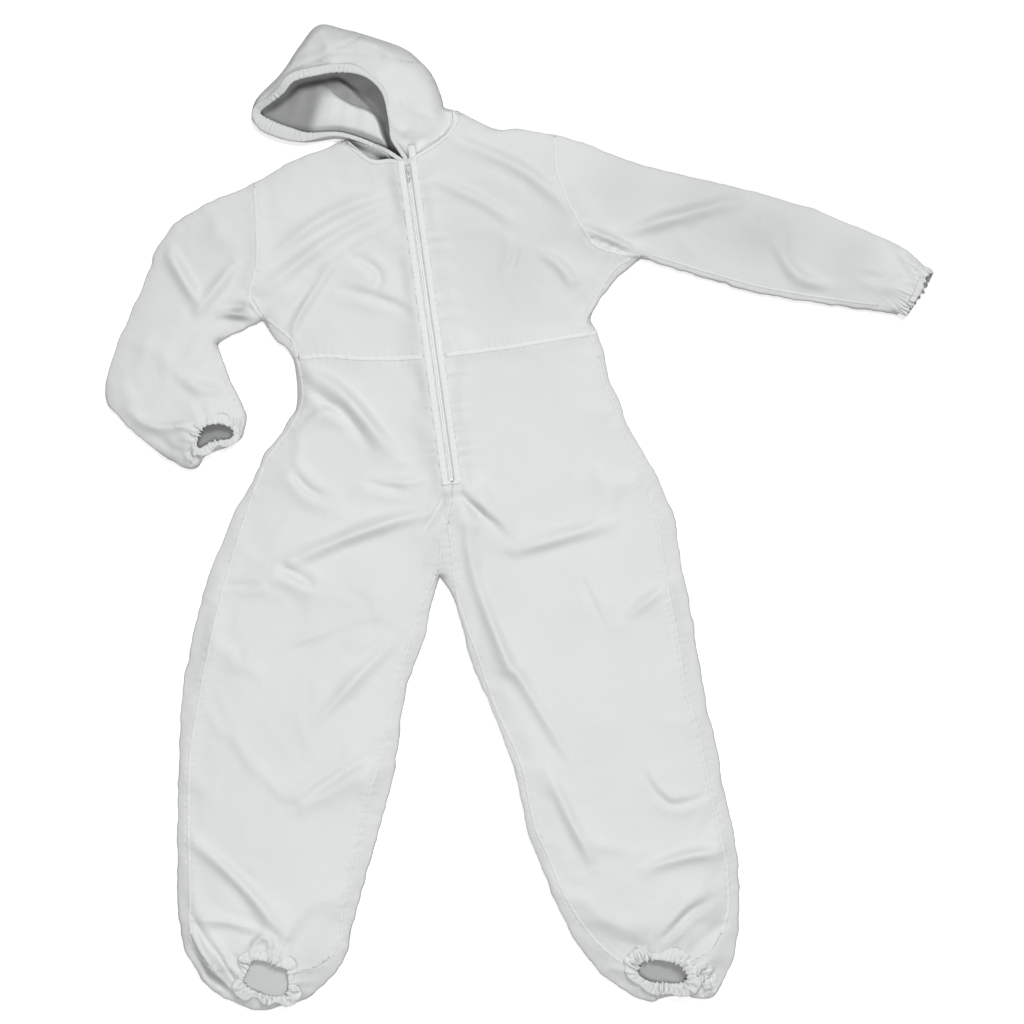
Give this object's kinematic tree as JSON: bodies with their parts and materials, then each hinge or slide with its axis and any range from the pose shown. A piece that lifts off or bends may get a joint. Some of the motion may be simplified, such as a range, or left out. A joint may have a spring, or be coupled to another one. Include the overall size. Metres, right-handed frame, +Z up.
{
  "type": "hooded coverall",
  "caption": "White hooded coverall laid flat on its back: front zip, waist seam, and elastic at hood, wrists and ankles.",
  "frame": {"origin": "under the middle of the laid-out suit, on the surface it lies on", "axes": "+Z up out of the surface, +Y towards the hood, +X towards the wearer's left"},
  "size_m": [1.4769, 1.7583, 0.068],
  "materials": {
    "fabric": "thin plain-weave nylon, soft sheen",
    "seam": "felled and taped seams of the same nylon",
    "hem": "gathered casing",
    "elastic": "braided elastic",
    "zip_tape": "woven tape",
    "zip_coil": "nylon coil",
    "zip_metal": "satin"
  },
  "bodies": {
    "torso": {"back_bodice": "fabric", "right_front_bodice": "fabric", "left_front_bodice": "fabric", "waist_seam_tape": "seam", "back_seat": "fabric", "right_front_seat": "fabric", "left_front_seat": "fabric", "centre_front_seam": "seam", "right_side_seam": "seam", "left_side_seam": "seam", "neck_seam_tape": "seam", "right_zip_tape": "zip_tape", "left_zip_tape": "zip_tape", "right_coil": "zip_coil", "left_coil": "zip_coil", "zip_top_stops": "zip_metal", "zip_bottom_stop": "zip_metal", "right_placket": "seam", "left_placket": "seam"},
    "slider": {"slider_body": "zip_metal", "slider_bail": "zip_metal"},
    "pull": {"pull_tab": "zip_metal"},
    "hood": {"hood_right_panel": "fabric", "hood_centre_panel": "fabric", "hood_left_panel": "fabric", "hood_hem": "hem", "hood_elastic": "elastic"},
    "right_sleeve": {"right_sleeve_front": "fabric", "right_sleeve_back": "fabric", "right_armhole_seam": "seam", "right_underarm_seam": "seam", "right_wrist_hem": "hem", "right_wrist_elastic": "elastic"},
    "right_leg": {"right_leg_front": "fabric", "right_leg_back": "fabric", "right_outer_seam": "seam", "right_inseam": "seam", "right_ankle_hem": "hem", "right_ankle_elastic": "elastic"},
    "left_sleeve": {"left_sleeve_front": "fabric", "left_sleeve_back": "fabric", "left_armhole_seam": "seam", "left_underarm_seam": "seam", "left_wrist_hem": "hem", "left_wrist_elastic": "elastic"},
    "left_leg": {"left_leg_front": "fabric", "left_leg_back": "fabric", "left_outer_seam": "seam", "left_inseam": "seam", "left_ankle_hem": "hem", "left_ankle_elastic": "elastic"}
  },
  "joints": [
    {"name": "zip_slide", "type": "slide", "parent": "torso", "child": "slider", "axis": [0.1385, -0.9904, 0], "range_m": [0, 0.544]},
    {"name": "pull_swing", "type": "hinge", "parent": "slider", "child": "pull", "pos_m": [-0.19712, 0.61858, 0.03625], "axis": [-0.9904, -0.1385, 0], "range_deg": [0, 150]},
    {"name": "neck_turn", "type": "hinge", "parent": "torso", "child": "hood", "pos_m": [-0.225, 0.745, 0.02], "axis": [0, 0, 1], "range_deg": [-24, 3]},
    {"name": "right_shoulder", "type": "hinge", "parent": "torso", "child": "right_sleeve", "pos_m": [-0.54, 0.445, 0.02], "axis": [0, 0, 1], "range_deg": [-20, 10]},
    {"name": "left_shoulder", "type": "hinge", "parent": "torso", "child": "left_sleeve", "pos_m": [0.15, 0.562, 0.02], "axis": [0, 0, 1], "range_deg": [-18, 18]},
    {"name": "right_hip", "type": "hinge", "parent": "torso", "child": "right_leg", "pos_m": [-0.35, -0.1, 0.02], "axis": [0, 0, 1], "range_deg": [-12, 8]},
    {"name": "left_hip", "type": "hinge", "parent": "torso", "child": "left_leg", "pos_m": [0.085, -0.105, 0.02], "axis": [0, 0, 1], "range_deg": [-8, 12]}
  ]
}
